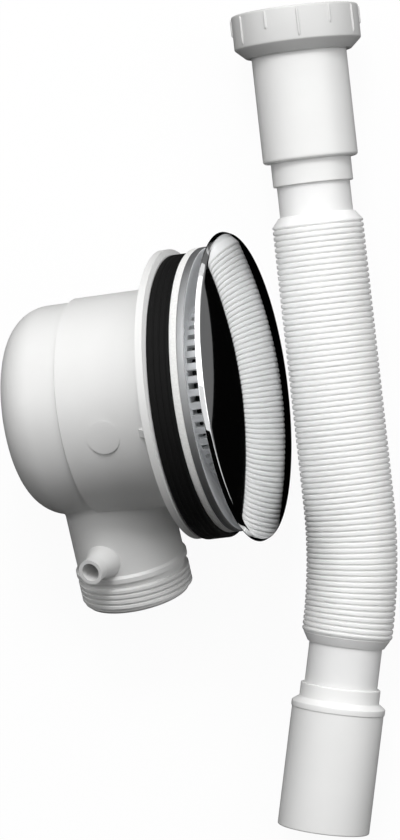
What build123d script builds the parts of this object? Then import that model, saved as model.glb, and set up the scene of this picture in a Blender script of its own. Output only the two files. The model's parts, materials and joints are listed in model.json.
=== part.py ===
from build123d import *
import os
from math import asin, atan2, cos, hypot, radians, sin, sqrt, tan

# Shower trap with its flexible outlet pipe, lying on the floor. Lengths in mm, angles in degrees.
# The trap is measured from its flange's top face: heights towards the cover, depths towards the bowl.
# The pipe is measured along its centre line from the open end of its nut.

# Trap body
FLANGE_RADIUS = 60.8
FLANGE_THICKNESS = 4.0
FLANGE_BEVEL_WIDTH = 2.4
FLANGE_BEVEL_HEIGHT = 1.0
BODY_RADIUS = 45.8
BODY_WALL = 3.5
BODY_DEPTH = 73.0
SEAM_DEPTH = 44.0
SEAM_STEP = 1.4
BOWL_EDGE = 16.0
BOWL_WALL = 3.5
SHOULDER_DEPTH = 14.0
SHOULDER_WIDTH = 2.0
GUSSET_COUNT = 4
GUSSET_THICKNESS = 3.2
GUSSET_DEPTH = 7.0
GUSSET_REACH = 6.0
PAD_DEPTH = 26.4
PAD_RADIUS = 7.0
PAD_HEIGHT = 0.25

# Side outlet with its thread land
OUTLET_DEPTH = 42.0
OUTLET_REACH = 86.0
OUTLET_RADIUS = 23.0
OUTLET_BORE = 19.5
OUTLET_FILLET = 4.0
THREAD_RADIUS = 23.9
THREAD_LENGTH = 12.6
THREAD_CHAMFER = 0.8
RELIEF_LENGTH = 1.4
RELIEF_DEPTH = 1.5
BEAD_LENGTH = 3.0
BEAD_HEIGHT = 1.1

# Hose nozzle on the outlet
NOZZLE_POSITION = 62.0
NOZZLE_LEAN = 12.6
NOZZLE_REACH = 34.0
NOZZLE_RADIUS = 5.4
NOZZLE_BORE = 3.9
NOZZLE_TIP_LENGTH = 5.0
NOZZLE_ROOT_RADIUS = 8.6

# Rings and flange stacked on the body
SEAL_RADIUS = 59.9
SEAL_CLEARANCE = 6.5
SEAL_THICKNESS = 10.0
SEAL_CHAMFER = 0.8
SEAL_SHIFT = 1.8
GASKET_RADIUS = 59.6
GASKET_BORE = 55.5
GASKET_THICKNESS = 3.2
WASTE_RADIUS = 59.7
WASTE_RIM = 3.5
WASTE_SHEET = 1.6
WASTE_SLOPE = 19.0
WASTE_CHAMFER = 0.7
WASTE_SEAT_RADIUS = 37.4
WASTE_OPENING = 32.0
WASTE_CLEARANCE = 0.5
SKIRT_WALL = 2.6
SKIRT_CLEARANCE = 0.3

# Strainer and cover
STRAINER_RADIUS = 36.4
STRAINER_WALL = 2.6
STRAINER_SPIGOT = 4.0
STRAINER_SPIGOT_WALL = 2.0
STRAINER_RING = 1.2
STRAINER_SLOTS = 42
STRAINER_SLOT_WIDTH = 2.5
STRAINER_CLEARANCE = 0.3
COVER_RADIUS = 65.0
COVER_HEIGHT = 22.7
COVER_RIM_WIDTH = 1.0
COVER_RIM_RISE = 2.2
COVER_CURVE = 300.0
COVER_SHEET = 1.5
COVER_RIB_HEIGHT = 3.0
COVER_RIB_WALL = 1.6

# Water seal inside the body
WEIR_RISE = 4.0
DIP_TUBE_RADIUS = 29.0
DIP_TUBE_WALL = 2.0
DIP_TUBE_FLANGE = 2.0
DIP_TUBE_GAP = 6.5
DIP_SEAL_THICKNESS = 2.0
DIP_CLEARANCE = 0.3

# Nut, washer and sleeves of the pipe
NUT_RADIUS = 27.2
NUT_LENGTH = 18.6
NUT_SHOULDER = 13.0
NUT_CHAMFER = 0.8
NUT_CONE_LENGTH = 4.2
NUT_CONE_WIDTH = 4.6
NUT_RIBS = 12
NUT_RIB_WIDTH = 1.3
NUT_RIB_HEIGHT = 0.6
NUT_RIB_LENGTH = 12.5
NUT_SHORT_RIB_LENGTH = 8.0
NUT_CLEARANCE = 0.4
NUT_SEAT_CLEARANCE = 0.3
NUT_END_PLAY = 0.1
THREAD_CLEARANCE = 0.15
WASHER_THICKNESS = 2.2
WASHER_WIDTH = 4.2
SLEEVE_RADIUS = 20.4
SLEEVE_WALL = 2.2
SLEEVE_FLANGE_WIDTH = 2.9
SLEEVE_FLANGE_THICKNESS = 2.4
SLEEVE_END = 64.2
SLEEVE_CHAMFER = 1.5
COLLAR_RADIUS = 17.2
INLET_COLLAR_LENGTH = 10.2
SPIGOT_RADIUS = 19.8
SPIGOT_WALL = 2.2
SPIGOT_LENGTH = 51.5
RIM_HEIGHT = 0.4
RIM_LENGTH = 2.5
RIM_CONE_LENGTH = 2.0
OUTLET_COLLAR_LENGTH = 6.0

# Concertina pipe, drawn with flat sides so that its many folds stay light
CUFF_RADIUS = 15.7
CUFF_WALL = 2.1
CUFF_CLEARANCE = 0.05
CUFF_INSERT = 5.0
INLET_CUFF_LENGTH = 13.4
INLET_CONE_LENGTH = 3.6
OUTLET_CUFF_LENGTH = 18.0
OUTLET_CONE_LENGTH = 5.0
CONE_STEP = 0.9
FOLD_RADIUS = 19.5
FOLD_DEPTH = 1.3
FOLD_WALL = 1.2
FOLD_PITCH = 2.4
FOLD_SIDES = 16

# Where the trap and the pipe lie
TRAP_X = -4.75
TRAP_Y = 11.2
TRAP_YAW = 7.2
PIPE_X = 39.25
PIPE_Y = 174.9
PIPE_HEADING = 6.4
PIPE_RUN_IN = 211.0
PIPE_BEND = 13.3
PIPE_BEND_RADIUS = 235.0
PIPE_RUN_OUT = 87.0

# Radii and heights of the trap that follow from its sizes
bowl_radius = BODY_RADIUS - SEAM_STEP
bowl_edge_depth = BODY_DEPTH - BOWL_EDGE
mouth_radius = BODY_RADIUS - BODY_WALL
cavity_radius = mouth_radius - SHOULDER_WIDTH
cavity_depth = BODY_DEPTH - BOWL_WALL
edge_diagonal = (BOWL_EDGE - BOWL_WALL) * sqrt(0.5)
weir_face = cavity_radius + BODY_WALL
land_start = OUTLET_REACH - THREAD_LENGTH
relief_start = land_start - RELIEF_LENGTH
bead_start = relief_start - BEAD_LENGTH
gasket_top = SEAL_THICKNESS + GASKET_THICKNESS
rim_top = gasket_top + WASTE_RIM
waste_grade = tan(radians(WASTE_SLOPE))
seat_height = rim_top - (WASTE_RADIUS - WASTE_SEAT_RADIUS) * waste_grade
skirt_radius = mouth_radius - SKIRT_CLEARANCE
seal_bore = skirt_radius + SEAL_CLEARANCE
step_radius = GASKET_BORE - WASTE_CLEARANCE
dip_seat_depth = SHOULDER_DEPTH - DIP_SEAL_THICKNESS
skirt_depth = dip_seat_depth - DIP_TUBE_FLANGE - DIP_CLEARANCE
cap_radius = COVER_RADIUS - COVER_RIM_WIDTH
cap_base = COVER_HEIGHT + COVER_RIM_RISE
apex_height = cap_base + COVER_CURVE - sqrt(COVER_CURVE**2 - cap_radius**2)
hollow_radius = cap_radius - COVER_SHEET


def under_cover(radius):
    """Height of the cover's hollow side at a radius."""
    hollow_curve = COVER_CURVE - COVER_SHEET
    return apex_height - COVER_CURVE + sqrt(hollow_curve**2 - radius**2)


def under_waste(radius):
    """Height of the dished underside of the waste flange at a radius."""
    return rim_top - (WASTE_RADIUS - radius) * waste_grade - WASTE_SHEET


# The trap lies on three points: the flange's lower rim, the bowl's rounded edge and the end of the outlet
rest_run = bowl_edge_depth - FLANGE_THICKNESS
rest_rise = FLANGE_RADIUS - (bowl_radius - BOWL_EDGE)
tilt = atan2(rest_rise, rest_run) - asin(BOWL_EDGE / hypot(rest_run, rest_rise))
trap_height = FLANGE_RADIUS * cos(tilt) + FLANGE_THICKNESS * sin(tilt)
outlet_height = trap_height - OUTLET_DEPTH * sin(tilt)
foot_reach = OUTLET_REACH - THREAD_CHAMFER
outlet_fall = asin(outlet_height / hypot(foot_reach, THREAD_RADIUS)) - atan2(THREAD_RADIUS, foot_reach)
outlet_roll = asin(sin(outlet_fall) / cos(tilt))

yaw = radians(TRAP_YAW)
trap_direction = Vector(cos(tilt) * cos(yaw), cos(tilt) * sin(yaw), sin(tilt))
level_side = Vector(sin(yaw), -cos(yaw), 0)
under_side = Vector(sin(tilt) * cos(yaw), sin(tilt) * sin(yaw), -cos(tilt))
outlet_direction = level_side * cos(outlet_roll) + under_side * sin(outlet_roll)

# Trap frame: Z along the trap's axis towards the cover, X towards the outlet
TRAP = Plane((TRAP_X, TRAP_Y, trap_height), x_dir=outlet_direction, z_dir=trap_direction)
TRAP_AXIS = Axis(TRAP.origin, TRAP.z_dir)
OUTLET = Plane(TRAP.from_local_coords((0, 0, -OUTLET_DEPTH)), x_dir=TRAP.z_dir, z_dir=TRAP.x_dir)
OUTLET_SECTION = Plane(OUTLET.origin, x_dir=OUTLET.z_dir, z_dir=OUTLET.y_dir)
OUTLET_AXIS = Axis(OUTLET.origin, OUTLET.z_dir)

# The nozzle points away from the floor and leans towards the bowl
lean = radians(NOZZLE_LEAN)
nozzle_direction = TRAP.y_dir * -cos(lean) - TRAP.z_dir * sin(lean)
nozzle_base = OUTLET.from_local_coords((0, 0, NOZZLE_POSITION))
NOZZLE = Plane(nozzle_base, x_dir=OUTLET.z_dir, z_dir=nozzle_direction)
NOZZLE_SECTION = Plane(nozzle_base, x_dir=NOZZLE.z_dir, z_dir=NOZZLE.y_dir)
NOZZLE_AXIS = Axis(nozzle_base, NOZZLE.z_dir)

# A flat round pad stands out of the body's side, a quarter turn from the outlet and away from the floor
PAD = Plane(TRAP.from_local_coords((0, -BODY_RADIUS - PAD_HEIGHT, -PAD_DEPTH)), z_dir=-TRAP.y_dir)


def trap_section(turn=0):
    """Half plane through the trap's axis, turned from the outlet: X is the radius, Y the height."""
    outward = TRAP.x_dir.rotate(TRAP_AXIS, turn)
    return Plane(TRAP.origin, x_dir=outward, z_dir=outward.cross(TRAP.z_dir))


# Distances along the pipe that follow from its sizes; those of the outlet sleeve count back from its end
nut_bore = THREAD_RADIUS + THREAD_CLEARANCE
nut_hole = SLEEVE_RADIUS + NUT_CLEARANCE
nut_cone_start = NUT_LENGTH - NUT_CONE_LENGTH
sleeve_flange_radius = SLEEVE_RADIUS + SLEEVE_FLANGE_WIDTH
sleeve_flange_end = NUT_SHOULDER - NUT_END_PLAY
sleeve_start = sleeve_flange_end - SLEEVE_FLANGE_THICKNESS
washer_start = sleeve_start - WASHER_THICKNESS
nut_seat = sleeve_flange_radius + NUT_SEAT_CLEARANCE
nut_thread_end = washer_start - NUT_SEAT_CLEARANCE
sleeve_bore = SLEEVE_RADIUS - SLEEVE_WALL
inlet_collar_end = SLEEVE_END + INLET_COLLAR_LENGTH
inlet_cuff_start = inlet_collar_end - CUFF_INSERT
inlet_cuff_end = inlet_collar_end + INLET_CUFF_LENGTH
cuff_bore = CUFF_RADIUS - CUFF_WALL
socket_radius = CUFF_RADIUS + CUFF_CLEARANCE
spigot_bore = SPIGOT_RADIUS - SPIGOT_WALL
rim_end = SPIGOT_LENGTH + RIM_LENGTH
rim_cone_end = rim_end + RIM_CONE_LENGTH
outlet_collar_end = rim_cone_end + OUTLET_COLLAR_LENGTH
outlet_cuff_start = outlet_collar_end - CUFF_INSERT
outlet_cuff_end = outlet_collar_end + OUTLET_CUFF_LENGTH
outlet_cone_end = outlet_cuff_end + OUTLET_CONE_LENGTH

# The pipe lies on a rib of its nut and on the end of the spigot, and slopes evenly between them
bend = radians(PIPE_BEND)
bend_length = PIPE_BEND_RADIUS * bend
pipe_length = PIPE_RUN_IN + bend_length + PIPE_RUN_OUT
pipe_reach = PIPE_RUN_IN + PIPE_BEND_RADIUS * sin(bend) + PIPE_RUN_OUT * cos(bend)
nut_foot = NUT_RADIUS + NUT_RIB_HEIGHT
rib_end = NUT_CHAMFER + NUT_RIB_LENGTH
slope = asin((nut_foot - SPIGOT_RADIUS) / (pipe_reach - rib_end))
pipe_height = nut_foot * cos(slope) + rib_end * sin(slope)
heading = radians(PIPE_HEADING)
level_heading = Vector(sin(heading), -cos(heading), 0)
upright = Vector(0, 0, 1)

# Pipe frame: X along the first run, Y across it on the floor; the tail frame has its origin at the far end
PIPE = Plane(
    (PIPE_X, PIPE_Y, pipe_height),
    x_dir=level_heading * cos(slope) - upright * sin(slope),
    z_dir=level_heading * sin(slope) + upright * cos(slope),
)
PIPE_AXIS = Axis(PIPE.origin, PIPE.x_dir)
corner_length = PIPE_BEND_RADIUS * tan(bend / 2)
bend_corner = (PIPE_RUN_IN + corner_length, 0)


def on_tail(back):
    """Point of the pipe's last run in the pipe frame, at a distance back from its end."""
    past_corner = corner_length + PIPE_RUN_OUT - back
    return (bend_corner[0] + past_corner * cos(bend), -past_corner * sin(bend))


TAIL = Plane(
    PIPE.from_local_coords((*on_tail(0), 0)),
    x_dir=PIPE.x_dir * cos(bend) - PIPE.y_dir * sin(bend),
    z_dir=PIPE.z_dir,
)
TAIL_AXIS = Axis(TAIL.origin, TAIL.x_dir)


def across_pipe(distance):
    """Plane square to the pipe's centre line, at a distance along it."""
    turned = min(max(distance - PIPE_RUN_IN, 0), bend_length) / PIPE_BEND_RADIUS
    run_in = min(distance, PIPE_RUN_IN)
    run_out = max(distance - PIPE_RUN_IN - bend_length, 0)
    along = run_in + PIPE_BEND_RADIUS * sin(turned) + run_out * cos(turned)
    aside = PIPE_BEND_RADIUS * (cos(turned) - 1) - run_out * sin(turned)
    direction = PIPE.x_dir * cos(turned) - PIPE.y_dir * sin(turned)
    return Plane(PIPE.from_local_coords((along, aside, 0)), x_dir=PIPE.z_dir, z_dir=direction)


os.makedirs("parts", exist_ok=True)

# Trap body: bowl, flange, outlet, nozzle, gussets and pad moulded as one. Its wall stands across the lower part of
# the outlet as a weir, which keeps water over the end of the dip tube.
with BuildPart() as trap_body:
    with BuildSketch(trap_section()):
        with BuildLine():
            Polyline((0, 0), (0, -BODY_DEPTH), (bowl_radius - BOWL_EDGE, -BODY_DEPTH))
            RadiusArc(
                (bowl_radius - BOWL_EDGE, -BODY_DEPTH), (bowl_radius, -bowl_edge_depth), -BOWL_EDGE
            )
            Polyline((bowl_radius, -bowl_edge_depth), (bowl_radius, 0), (0, 0))
        make_face()
    revolve(axis=TRAP_AXIS)
    with BuildSketch(OUTLET):
        Circle(OUTLET_RADIUS)
    extrude(amount=bead_start)
    root_edges = trap_body.edges(Select.LAST).filter_by(GeomType.BSPLINE)
    fillet(root_edges, radius=OUTLET_FILLET)
    with BuildSketch(trap_section()):
        with BuildLine():
            Polyline(
                (0, -SEAM_DEPTH),
                (BODY_RADIUS, -SEAM_DEPTH),
                (BODY_RADIUS, -FLANGE_THICKNESS),
                (FLANGE_RADIUS, -FLANGE_THICKNESS),
                (FLANGE_RADIUS, -FLANGE_BEVEL_HEIGHT),
                (FLANGE_RADIUS - FLANGE_BEVEL_WIDTH, 0),
                (0, 0),
                close=True,
            )
        make_face()
    revolve(axis=TRAP_AXIS)
    for quarter in range(GUSSET_COUNT):
        with BuildSketch(trap_section(quarter * 360 / GUSSET_COUNT)):
            with BuildLine():
                Polyline(
                    (cavity_radius, -FLANGE_THICKNESS),
                    (BODY_RADIUS + GUSSET_REACH, -FLANGE_THICKNESS),
                    (BODY_RADIUS, -FLANGE_THICKNESS - GUSSET_DEPTH),
                    (cavity_radius, -FLANGE_THICKNESS - GUSSET_DEPTH),
                    close=True,
                )
            make_face()
        extrude(amount=GUSSET_THICKNESS / 2, both=True)
    with BuildSketch(PAD):
        Circle(PAD_RADIUS)
    extrude(amount=-BODY_WALL)
    with BuildSketch(OUTLET_SECTION):
        with BuildLine():
            Polyline(
                (bead_start, 0),
                (bead_start, OUTLET_RADIUS),
                (bead_start + BEAD_HEIGHT, OUTLET_RADIUS + BEAD_HEIGHT),
                (relief_start, OUTLET_RADIUS + BEAD_HEIGHT),
                (relief_start, THREAD_RADIUS - RELIEF_DEPTH),
                (land_start, THREAD_RADIUS - RELIEF_DEPTH),
                (land_start, THREAD_RADIUS),
                (OUTLET_REACH - THREAD_CHAMFER, THREAD_RADIUS),
                (OUTLET_REACH, THREAD_RADIUS - THREAD_CHAMFER),
                (OUTLET_REACH, 0),
                close=True,
            )
        make_face()
    revolve(axis=OUTLET_AXIS)
    with BuildSketch(NOZZLE_SECTION):
        with BuildLine():
            Polyline(
                (0, 0),
                (0, NOZZLE_ROOT_RADIUS),
                (OUTLET_BORE, NOZZLE_ROOT_RADIUS),
                (NOZZLE_REACH - NOZZLE_TIP_LENGTH, NOZZLE_RADIUS),
                (NOZZLE_REACH, NOZZLE_RADIUS),
                (NOZZLE_REACH, 0),
                close=True,
            )
        make_face()
    revolve(axis=NOZZLE_AXIS)
    with BuildSketch(trap_section()):
        with BuildLine():
            Polyline(
                (0, -cavity_depth),
                (0, 0),
                (mouth_radius, 0),
                (mouth_radius, -SHOULDER_DEPTH),
                (cavity_radius, -SHOULDER_DEPTH),
                (cavity_radius, -bowl_edge_depth),
                (bowl_radius - BOWL_EDGE + edge_diagonal, -bowl_edge_depth - edge_diagonal),
                (bowl_radius - BOWL_EDGE, -cavity_depth),
                close=True,
            )
        make_face()
    revolve(axis=TRAP_AXIS, mode=Mode.SUBTRACT)
    with BuildSketch(OUTLET.offset(weir_face)):
        Circle(OUTLET_BORE)
    extrude(amount=OUTLET_REACH - weir_face, mode=Mode.SUBTRACT)
    with BuildSketch(OUTLET):
        Circle(OUTLET_BORE)
        with Locations((WEIR_RISE - OUTLET_BORE, 0)):
            Rectangle(2 * OUTLET_BORE, 2 * OUTLET_BORE, mode=Mode.SUBTRACT)
    extrude(amount=weir_face, mode=Mode.SUBTRACT)
    with BuildSketch(NOZZLE):
        Circle(NOZZLE_BORE)
    extrude(amount=NOZZLE_REACH, mode=Mode.SUBTRACT)
trap_body.part.label = "trap_body"
export_step(trap_body.part, "parts/trap_body.step")

# Rubber ring between the flange and the shower tray, which lies a little towards the outlet
with BuildPart() as tray_seal:
    with BuildSketch(TRAP):
        with Locations((SEAL_SHIFT, 0)):
            Circle(SEAL_RADIUS)
            Circle(seal_bore, mode=Mode.SUBTRACT)
    extrude(amount=SEAL_THICKNESS)
    outer_edges = tray_seal.edges().filter_by(GeomType.CIRCLE).sort_by(SortBy.RADIUS)[-2:]
    chamfer(outer_edges, length=SEAL_CHAMFER)
tray_seal.part.label = "tray_seal"
export_step(tray_seal.part, "parts/tray_seal.step")

# Thin ring that lies on the shower tray
with BuildPart() as top_gasket:
    with BuildSketch(TRAP.offset(SEAL_THICKNESS)):
        Circle(GASKET_RADIUS)
        Circle(GASKET_BORE, mode=Mode.SUBTRACT)
    extrude(amount=GASKET_THICKNESS)
top_gasket.part.label = "top_gasket"
export_step(top_gasket.part, "parts/top_gasket.step")

# Dished waste flange, with a skirt that screws into the body
with BuildPart() as waste_flange:
    with BuildSketch(trap_section()):
        with BuildLine():
            Polyline(
                (step_radius, gasket_top),
                (WASTE_RADIUS, gasket_top),
                (WASTE_RADIUS, rim_top - WASTE_CHAMFER),
                (WASTE_RADIUS - WASTE_CHAMFER, rim_top - WASTE_CHAMFER * waste_grade),
                (WASTE_SEAT_RADIUS, seat_height),
                (WASTE_OPENING, seat_height),
                (WASTE_OPENING, seat_height - WASTE_SHEET),
                (skirt_radius - SKIRT_WALL, seat_height - WASTE_SHEET),
                (skirt_radius - SKIRT_WALL, -skirt_depth),
                (skirt_radius, -skirt_depth),
                (skirt_radius, under_waste(skirt_radius)),
                (step_radius, under_waste(step_radius)),
                close=True,
            )
        make_face()
    revolve(axis=TRAP_AXIS)
waste_flange.part.label = "waste_flange"
export_step(waste_flange.part, "parts/waste_flange.step")

# Slotted strainer: a spigot in the flange's opening and a crown of teeth that carries the cover
crown_top = under_cover(STRAINER_RADIUS)
spigot_radius = WASTE_OPENING - STRAINER_CLEARANCE
with BuildPart() as strainer:
    with BuildSketch(trap_section()):
        with BuildLine():
            Polyline(
                (spigot_radius - STRAINER_SPIGOT_WALL, seat_height - STRAINER_SPIGOT),
                (spigot_radius, seat_height - STRAINER_SPIGOT),
                (spigot_radius, seat_height),
                (STRAINER_RADIUS, seat_height),
                (STRAINER_RADIUS, crown_top),
                (STRAINER_RADIUS - STRAINER_WALL, crown_top),
                (STRAINER_RADIUS - STRAINER_WALL, seat_height + STRAINER_RING),
                (spigot_radius - STRAINER_SPIGOT_WALL, seat_height + STRAINER_RING),
                close=True,
            )
        make_face()
    revolve(axis=TRAP_AXIS)
    with BuildSketch(TRAP.offset(seat_height + STRAINER_RING)):
        with PolarLocations(STRAINER_RADIUS - STRAINER_WALL / 2, STRAINER_SLOTS):
            Rectangle(2 * STRAINER_WALL, STRAINER_SLOT_WIDTH)
    extrude(amount=crown_top - seat_height, mode=Mode.SUBTRACT)
strainer.part.label = "strainer"
export_step(strainer.part, "parts/strainer.step")

# Domed cover, with a rib round the strainer's crown on its hollow side
rib_bore = STRAINER_RADIUS + STRAINER_CLEARANCE
rib_radius = rib_bore + COVER_RIB_WALL
rib_foot = under_cover(rib_radius) - COVER_RIB_HEIGHT
with BuildPart() as dome_cover:
    with BuildSketch(trap_section()):
        with BuildLine():
            RadiusArc((0, apex_height), (cap_radius, cap_base), COVER_CURVE)
            Polyline(
                (cap_radius, cap_base),
                (COVER_RADIUS, COVER_HEIGHT),
                (hollow_radius, COVER_HEIGHT),
                (hollow_radius, under_cover(hollow_radius)),
            )
            RadiusArc(
                (hollow_radius, under_cover(hollow_radius)),
                (rib_radius, under_cover(rib_radius)),
                COVER_SHEET - COVER_CURVE,
            )
            Polyline(
                (rib_radius, under_cover(rib_radius)),
                (rib_radius, rib_foot),
                (rib_bore, rib_foot),
                (rib_bore, under_cover(rib_bore)),
            )
            RadiusArc((rib_bore, under_cover(rib_bore)), (0, under_cover(0)), COVER_SHEET - COVER_CURVE)
            Line((0, under_cover(0)), (0, apex_height))
        make_face()
    revolve(axis=TRAP_AXIS)
dome_cover.part.label = "dome_cover"
export_step(dome_cover.part, "parts/dome_cover.step")

# Dip tube, whose flange sits on its seal under the waste flange's skirt
dip_flange_radius = mouth_radius - DIP_CLEARANCE
dip_bore = DIP_TUBE_RADIUS - DIP_TUBE_WALL
dip_end = cavity_depth - DIP_TUBE_GAP
with BuildPart() as dip_tube:
    with BuildSketch(trap_section()):
        with BuildLine():
            Polyline(
                (dip_bore, -dip_end),
                (DIP_TUBE_RADIUS, -dip_end),
                (DIP_TUBE_RADIUS, -dip_seat_depth),
                (dip_flange_radius, -dip_seat_depth),
                (dip_flange_radius, DIP_TUBE_FLANGE - dip_seat_depth),
                (dip_bore, DIP_TUBE_FLANGE - dip_seat_depth),
                close=True,
            )
        make_face()
    revolve(axis=TRAP_AXIS)
dip_tube.part.label = "dip_tube"
export_step(dip_tube.part, "parts/dip_tube.step")

# Rubber ring under the dip tube's flange
with BuildPart() as dip_tube_seal:
    with BuildSketch(TRAP.offset(-SHOULDER_DEPTH)):
        Circle(dip_flange_radius)
        Circle(cavity_radius, mode=Mode.SUBTRACT)
    extrude(amount=DIP_SEAL_THICKNESS)
dip_tube_seal.part.label = "dip_tube_seal"
export_step(dip_tube_seal.part, "parts/dip_tube_seal.step")

# Union nut, free to turn on the inlet sleeve; long and short grip ribs alternate
with BuildPart() as coupling_nut:
    with BuildSketch(PIPE):
        with BuildLine():
            Polyline(
                (0, nut_bore),
                (0, NUT_RADIUS - NUT_CHAMFER),
                (NUT_CHAMFER, NUT_RADIUS),
                (nut_cone_start, NUT_RADIUS),
                (NUT_LENGTH, NUT_RADIUS - NUT_CONE_WIDTH),
                (NUT_LENGTH, nut_hole),
                (NUT_SHOULDER, nut_hole),
                (NUT_SHOULDER, nut_seat),
                (nut_thread_end, nut_seat),
                (nut_thread_end, nut_bore),
                close=True,
            )
        make_face()
    revolve(axis=PIPE_AXIS)
    for start_turn, rib_length in ((0, NUT_RIB_LENGTH), (360 / NUT_RIBS, NUT_SHORT_RIB_LENGTH)):
        with BuildSketch(across_pipe(NUT_CHAMFER)):
            with PolarLocations(NUT_RADIUS, NUT_RIBS // 2, start_angle=start_turn):
                Rectangle(2 * NUT_RIB_HEIGHT, NUT_RIB_WIDTH)
        extrude(amount=rib_length)
coupling_nut.part.label = "coupling_nut"
export_step(coupling_nut.part, "parts/coupling_nut.step")

# Flat washer on the sleeve's flange, inside the nut
with BuildPart() as nut_washer:
    with BuildSketch(across_pipe(washer_start)):
        Circle(sleeve_flange_radius)
        Circle(sleeve_flange_radius - WASHER_WIDTH, mode=Mode.SUBTRACT)
    extrude(amount=WASHER_THICKNESS)
nut_washer.part.label = "nut_washer"
export_step(nut_washer.part, "parts/nut_washer.step")

# Sleeve that carries the nut on its flange and the concertina's cuff in its collar
with BuildPart() as inlet_sleeve:
    with BuildSketch(PIPE):
        with BuildLine():
            Polyline(
                (sleeve_start, sleeve_bore),
                (sleeve_start, sleeve_flange_radius),
                (sleeve_flange_end, sleeve_flange_radius),
                (sleeve_flange_end, SLEEVE_RADIUS),
                (SLEEVE_END - SLEEVE_CHAMFER, SLEEVE_RADIUS),
                (SLEEVE_END, SLEEVE_RADIUS - SLEEVE_CHAMFER),
                (SLEEVE_END, COLLAR_RADIUS),
                (inlet_collar_end, COLLAR_RADIUS),
                (inlet_collar_end, socket_radius),
                (inlet_cuff_start, socket_radius),
                (inlet_cuff_start, cuff_bore),
                (SLEEVE_END - SLEEVE_WALL, cuff_bore),
                (SLEEVE_END - 2 * SLEEVE_WALL, sleeve_bore),
                close=True,
            )
        make_face()
    revolve(axis=PIPE_AXIS)
inlet_sleeve.part.label = "inlet_sleeve"
export_step(inlet_sleeve.part, "parts/inlet_sleeve.step")

# Concertina pipe: a bent stack of folds with a plain cuff at each end
folds_start = inlet_cuff_end + INLET_CONE_LENGTH
folds_end = pipe_length - outlet_cone_end
fold_count = round((folds_end - folds_start) / FOLD_PITCH)
half_fold = (folds_end - folds_start) / (2 * fold_count)
fold_bore = FOLD_RADIUS - FOLD_DEPTH - FOLD_WALL
with BuildPart() as pipe_bore:
    with BuildLine(PIPE) as centre_line:
        FilletPolyline((folds_start, 0), bend_corner, on_tail(outlet_cone_end), radius=PIPE_BEND_RADIUS)
    with BuildSketch(across_pipe(folds_start)):
        Circle(fold_bore)
    sweep(path=centre_line.line)
    with BuildSketch(across_pipe(inlet_cuff_start)):
        Circle(cuff_bore)
    extrude(amount=folds_start - inlet_cuff_start)
    with BuildSketch(across_pipe(folds_end)):
        Circle(cuff_bore)
    extrude(amount=outlet_cone_end - outlet_cuff_start)
with BuildPart() as flexible_pipe:
    with BuildSketch(across_pipe(inlet_cuff_start)):
        Circle(CUFF_RADIUS)
    extrude(amount=inlet_cuff_end - inlet_cuff_start)
    with BuildSketch(across_pipe(pipe_length - outlet_cuff_end)):
        Circle(CUFF_RADIUS)
    extrude(amount=outlet_cuff_end - outlet_cuff_start)
    with BuildSketch(across_pipe(inlet_cuff_end)):
        RegularPolygon(CUFF_RADIUS + CONE_STEP, FOLD_SIDES)
    for half in range(2 * fold_count + 1):
        with BuildSketch(across_pipe(folds_start + half * half_fold)):
            RegularPolygon(FOLD_RADIUS - FOLD_DEPTH * (half % 2), FOLD_SIDES)
    with BuildSketch(across_pipe(pipe_length - outlet_cuff_end)):
        RegularPolygon(CUFF_RADIUS + CONE_STEP, FOLD_SIDES)
    loft(ruled=True)
    add(pipe_bore.part, mode=Mode.SUBTRACT)
flexible_pipe.part.label = "flexible_pipe"
export_step(flexible_pipe.part, "parts/flexible_pipe.step")

# Plain spigot for a 40 mm socket, with a rim and a collar for the concertina's cuff
with BuildPart() as outlet_sleeve:
    with BuildSketch(TAIL):
        with BuildLine():
            Polyline(
                (0, spigot_bore),
                (0, SPIGOT_RADIUS),
                (-SPIGOT_LENGTH, SPIGOT_RADIUS),
                (-SPIGOT_LENGTH, SPIGOT_RADIUS + RIM_HEIGHT),
                (-rim_end, SPIGOT_RADIUS + RIM_HEIGHT),
                (-rim_cone_end, COLLAR_RADIUS),
                (-outlet_collar_end, COLLAR_RADIUS),
                (-outlet_collar_end, socket_radius),
                (-outlet_cuff_start, socket_radius),
                (-outlet_cuff_start, cuff_bore),
                (-rim_end, cuff_bore),
                (-SPIGOT_LENGTH, spigot_bore),
                close=True,
            )
        make_face()
    revolve(axis=TAIL_AXIS)
outlet_sleeve.part.label = "outlet_sleeve"
export_step(outlet_sleeve.part, "parts/outlet_sleeve.step")
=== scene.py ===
import json
import math

import bmesh
import bpy
from mathutils import Matrix, Vector
from mathutils.interpolate import poly_3d_calc


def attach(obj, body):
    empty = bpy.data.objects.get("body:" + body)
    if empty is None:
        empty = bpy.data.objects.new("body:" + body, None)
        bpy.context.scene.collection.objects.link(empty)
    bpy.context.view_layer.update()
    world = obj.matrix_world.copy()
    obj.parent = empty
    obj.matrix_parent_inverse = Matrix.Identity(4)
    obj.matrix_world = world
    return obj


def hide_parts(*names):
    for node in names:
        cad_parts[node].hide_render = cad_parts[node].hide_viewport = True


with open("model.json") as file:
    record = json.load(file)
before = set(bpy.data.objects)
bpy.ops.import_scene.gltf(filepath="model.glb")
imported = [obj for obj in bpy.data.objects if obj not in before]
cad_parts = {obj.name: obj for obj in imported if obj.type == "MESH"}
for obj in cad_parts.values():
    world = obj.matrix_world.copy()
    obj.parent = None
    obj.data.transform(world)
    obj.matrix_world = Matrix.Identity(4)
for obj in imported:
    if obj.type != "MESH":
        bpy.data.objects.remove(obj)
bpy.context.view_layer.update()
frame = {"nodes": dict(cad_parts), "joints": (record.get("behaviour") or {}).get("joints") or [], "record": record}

MM = 0.001

# Photograph's height and lens in pixels, the sensor in mm, and the camera's place in metres
IMAGE_HEIGHT = 840
FOCAL_LENGTH_PX = 3400
SENSOR_HEIGHT_MM = 24.0
CAMERA_HEIGHT = 1.48
CAMERA_ASIDE = -0.0009

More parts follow.
